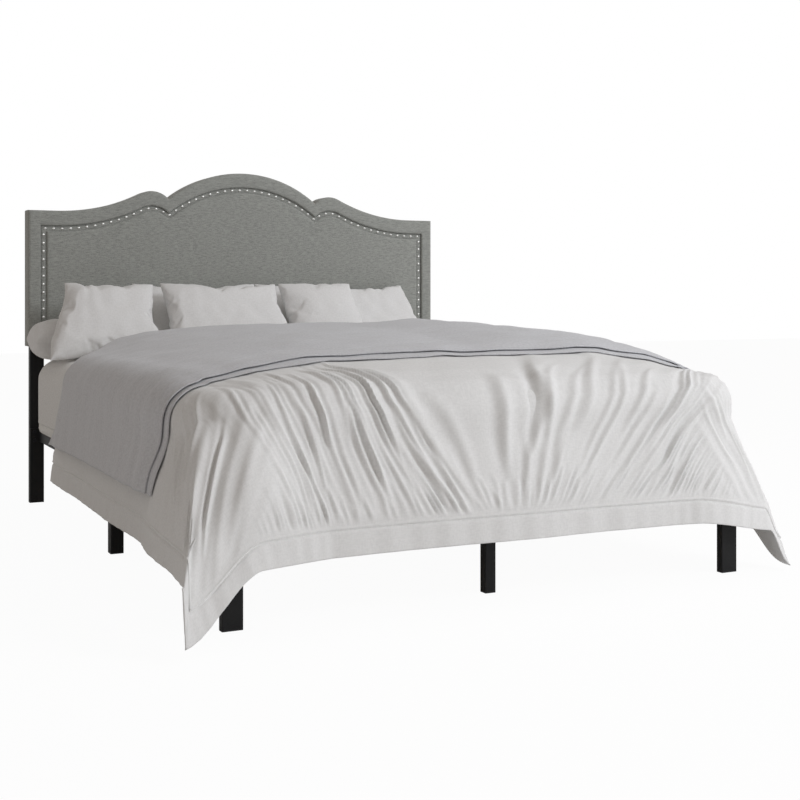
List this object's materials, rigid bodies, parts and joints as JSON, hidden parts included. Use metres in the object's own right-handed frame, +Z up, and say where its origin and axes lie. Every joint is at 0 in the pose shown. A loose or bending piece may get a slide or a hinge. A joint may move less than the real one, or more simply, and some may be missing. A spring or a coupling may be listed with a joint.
{
  "type": "upholstered bed",
  "caption": "Queen bed with a camelback upholstered headboard with nailhead trim, a steel frame on legs, slats, mattress, duvet, coverlet and pillows.",
  "frame": {"origin": "on the floor at the centre of the whole bed's footprint", "axes": "+X to the right seen from the foot, +Y from the foot towards the headboard, +Z up"},
  "size_m": [1.7295, 2.3742, 1.2198],
  "materials": {
    "grey_linen": "woven linen, matt",
    "foam": "upholstery foam",
    "nail_silver": "polished nickel plate",
    "black_dust_cloth": "non-woven dust cloth",
    "plywood": "plywood, bare",
    "pine": "pine, planed",
    "black_painted_steel": "black powder coat, satin",
    "zinc_steel": "zinc plate",
    "black_plastic": "moulded, matt",
    "mattress_ticking": "knitted ticking",
    "sheet_cotton": "percale cotton",
    "duvet_cotton": "filled cotton, matt",
    "coverlet_cotton": "quilting cotton, matt",
    "pillow_cotton": "percale cotton"
  },
  "bodies": {
    "frame": {"bracket_bolts": "zinc_steel", "bracket_nuts": "zinc_steel", "centre_beam": "black_painted_steel", "centre_leg_foot": "black_painted_steel", "centre_leg_middle": "black_painted_steel", "foot_leg_left": "black_painted_steel", "foot_leg_right": "black_painted_steel", "foot_rail": "black_painted_steel", "head_rail": "black_painted_steel", "headboard_arch_rim": "plywood", "headboard_back_panel": "plywood", "headboard_border_cover": "grey_linen", "headboard_border_foam": "foam", "headboard_bottom_rail": "pine", "headboard_crown_brace": "pine", "headboard_dust_cover": "black_dust_cloth", "headboard_field_cover": "grey_linen", "headboard_field_foam": "foam", "headboard_mid_rail": "pine", "headboard_nails": "nail_silver", "headboard_post_left": "black_painted_steel", "headboard_post_right": "black_painted_steel", "headboard_stile_left": "pine", "headboard_stile_right": "pine", "headboard_top_rail": "pine", "leg_bolt_nuts": "zinc_steel", "leg_bolts": "zinc_steel", "leg_glides": "black_plastic", "post_bolts": "zinc_steel", "post_tee_nuts": "zinc_steel", "rail_bracket_left": "black_painted_steel", "rail_bracket_right": "black_painted_steel", "side_leg_left": "black_painted_steel", "side_leg_right": "black_painted_steel", "side_rail_left": "black_painted_steel", "side_rail_right": "black_painted_steel", "slat_01": "pine", "slat_02": "pine", "slat_03": "pine", "slat_04": "pine", "slat_05": "pine", "slat_06": "pine", "slat_07": "pine", "slat_08": "pine", "slat_09": "pine", "slat_10": "pine", "slat_11": "pine", "slat_screws": "zinc_steel", "tube_caps": "black_plastic"},
    "bedding": {"mattress": "mattress_ticking", "fitted_sheet": "sheet_cotton", "duvet": "duvet_cotton", "coverlet": "coverlet_cotton"},
    "back_pillows": {"pillow_back_left": "pillow_cotton", "pillow_back_right": "pillow_cotton", "pillow_flat_left": "pillow_cotton"},
    "front_pillows": {"pillow_front_centre": "pillow_cotton", "pillow_front_left": "pillow_cotton", "pillow_front_right": "pillow_cotton"}
  },
  "joints": [
    {"name": "mattress_lift", "type": "slide", "parent": "frame", "child": "bedding", "axis": [0, 0, 1], "range_m": [0, 0.3]},
    {"name": "back_pillow_lift", "type": "slide", "parent": "bedding", "child": "back_pillows", "axis": [0, 0, 1], "range_m": [0, 0.2]},
    {"name": "front_pillow_lift", "type": "slide", "parent": "back_pillows", "child": "front_pillows", "axis": [0, 0, 1], "range_m": [0, 0.2]}
  ]
}
